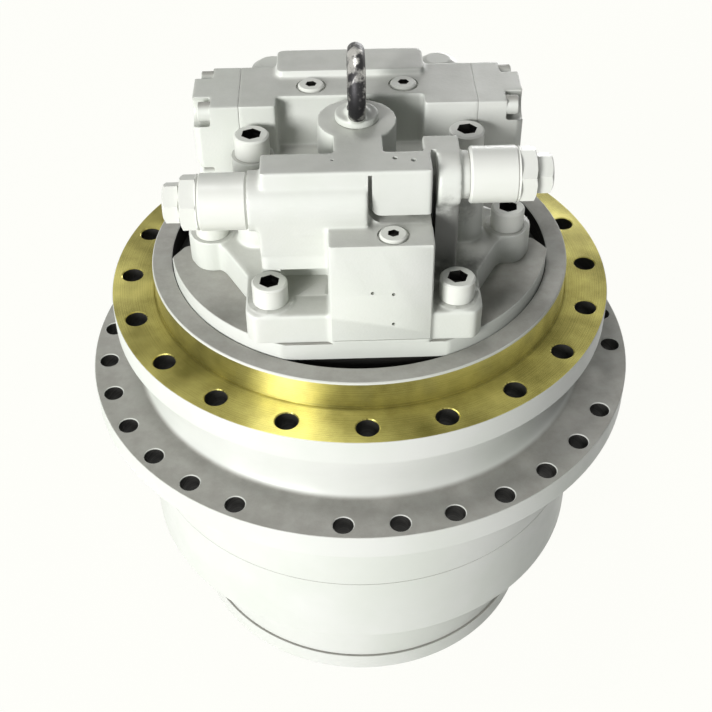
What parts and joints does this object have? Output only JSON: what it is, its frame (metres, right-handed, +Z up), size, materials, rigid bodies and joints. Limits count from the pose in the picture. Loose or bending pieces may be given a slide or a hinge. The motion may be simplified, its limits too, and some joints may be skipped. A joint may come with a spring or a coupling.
{
  "type": "excavator final drive",
  "caption": "Travel drive for a tracked machine: a planetary gearbox hub with sprocket flange round a hydraulic motor, frame flange above it, valves and lifting eye on top",
  "frame": {"origin": "centre of the end cover's outer face, on which the drive stands", "axes": "+Z up the sprocket's axis towards the motor, X along the relief valves, +Y to the hose ports"},
  "size_m": [0.584, 0.584, 0.7149],
  "materials": {
    "grey_paint": "semi-gloss grey primer, sprayed over all outer castings",
    "gold_film": "yellow rust-preventive film over machined steel, glossy",
    "ground_steel": "ground",
    "gear_steel": "cut and hardened, oiled",
    "cast_iron": "as cast with machined faces",
    "bronze": "machined",
    "worn_steel": "dark, worn"
  },
  "bodies": {
    "frame_side": {"spindle": "gold_film", "motor_casing": "grey_paint", "motor_cover": "grey_paint", "spool_end_cap_left": "grey_paint", "spool_end_cap_right": "grey_paint", "relief_valve_left": "grey_paint", "relief_valve_right": "grey_paint", "relief_cap_left": "grey_paint", "relief_cap_right": "grey_paint", "cover_screw_front_left": "grey_paint", "cover_screw_front_right": "grey_paint", "cover_screw_left": "grey_paint", "cover_screw_right": "grey_paint", "cover_screw_rear_left": "grey_paint", "cover_screw_rear_right": "grey_paint", "boss_screw_left": "grey_paint", "boss_screw_right": "grey_paint", "front_plug": "grey_paint", "check_plug_left": "grey_paint", "check_plug_right": "grey_paint", "port_cap_left": "grey_paint", "port_cap_right": "grey_paint", "eye_bolt": "worn_steel", "shaft_seal": "worn_steel", "second_carrier": "cast_iron", "lower_inner_race": "ground_steel", "upper_inner_race": "ground_steel", "bearing_nut": "ground_steel", "seal_ring_fixed": "ground_steel", "lower_shaft_bearing": "ground_steel", "upper_shaft_bearing": "ground_steel"},
    "hub": {"hub_housing": "grey_paint", "second_ring_gear": "grey_paint", "first_ring_gear": "grey_paint", "end_cover": "grey_paint", "lower_outer_race": "ground_steel", "upper_outer_race": "ground_steel", "seal_ring_moving": "ground_steel", "fill_plug": "worn_steel", "level_plug": "worn_steel", "drain_plug": "worn_steel"},
    "lower_rollers": {"lower_roller_cage": "bronze"},
    "upper_rollers": {"upper_roller_cage": "bronze"},
    "first_carrier": {"first_carrier": "cast_iron", "second_sun_gear": "gear_steel"},
    "input": {"drive_shaft": "ground_steel", "first_sun_gear": "gear_steel"},
    "spool": {"counterbalance_spool": "ground_steel"},
    "first_planet_1": {"first_planet_1": "gear_steel"},
    "second_planet_1": {"second_planet_1": "gear_steel"},
    "first_planet_2": {"first_planet_2": "gear_steel"},
    "second_planet_2": {"second_planet_2": "gear_steel"},
    "first_planet_3": {"first_planet_3": "gear_steel"},
    "second_planet_3": {"second_planet_3": "gear_steel"}
  },
  "joints": [
    {"name": "hub_spin", "type": "hinge", "parent": "frame_side", "child": "hub", "pos_m": [0, 0, 0.3], "axis": [0, 0, 1], "continuous": true},
    {"name": "lower_rollers_spin", "type": "hinge", "parent": "frame_side", "child": "lower_rollers", "pos_m": [0, 0, 0.3], "axis": [0, 0, 1], "continuous": true},
    {"name": "upper_rollers_spin", "type": "hinge", "parent": "frame_side", "child": "upper_rollers", "pos_m": [0, 0, 0.3], "axis": [0, 0, 1], "continuous": true},
    {"name": "first_carrier_spin", "type": "hinge", "parent": "frame_side", "child": "first_carrier", "pos_m": [0, 0, 0.3], "axis": [0, 0, 1], "continuous": true},
    {"name": "input_spin", "type": "hinge", "parent": "frame_side", "child": "input", "pos_m": [0, 0, 0.3], "axis": [0, 0, 1], "continuous": true},
    {"name": "first_planet_1_spin", "type": "hinge", "parent": "first_carrier", "child": "first_planet_1", "pos_m": [0.10666, 0, 0.3], "axis": [0, 0, 1], "continuous": true},
    {"name": "first_planet_2_spin", "type": "hinge", "parent": "first_carrier", "child": "first_planet_2", "pos_m": [-0.05333, 0.09237, 0.3], "axis": [0, 0, 1], "continuous": true},
    {"name": "first_planet_3_spin", "type": "hinge", "parent": "first_carrier", "child": "first_planet_3", "pos_m": [-0.05333, -0.09237, 0.3], "axis": [0, 0, 1], "continuous": true},
    {"name": "second_planet_1_spin", "type": "hinge", "parent": "frame_side", "child": "second_planet_1", "pos_m": [0.135, 0, 0.3], "axis": [0, 0, 1], "continuous": true},
    {"name": "second_planet_2_spin", "type": "hinge", "parent": "frame_side", "child": "second_planet_2", "pos_m": [-0.0675, 0.11691, 0.3], "axis": [0, 0, 1], "continuous": true},
    {"name": "second_planet_3_spin", "type": "hinge", "parent": "frame_side", "child": "second_planet_3", "pos_m": [-0.0675, -0.11691, 0.3], "axis": [0, 0, 1], "continuous": true},
    {"name": "spool_slide", "type": "slide", "parent": "frame_side", "child": "spool", "axis": [1, 0, 0], "range_m": [-0.009, 0.009]}
  ],
  "couplings": [
    {"joint": "lower_rollers_spin", "follows": "hub_spin", "ratio": 0.515},
    {"joint": "upper_rollers_spin", "follows": "hub_spin", "ratio": 0.515},
    {"joint": "first_carrier_spin", "follows": "hub_spin", "ratio": -3.5},
    {"joint": "input_spin", "follows": "hub_spin", "ratio": -19.25},
    {"joint": "first_planet_1_spin", "follows": "hub_spin", "ratio": 12.6},
    {"joint": "first_planet_2_spin", "follows": "hub_spin", "ratio": 12.6},
    {"joint": "first_planet_3_spin", "follows": "hub_spin", "ratio": 12.6},
    {"joint": "second_planet_1_spin", "follows": "hub_spin", "ratio": 2.8},
    {"joint": "second_planet_2_spin", "follows": "hub_spin", "ratio": 2.8},
    {"joint": "second_planet_3_spin", "follows": "hub_spin", "ratio": 2.8}
  ]
}
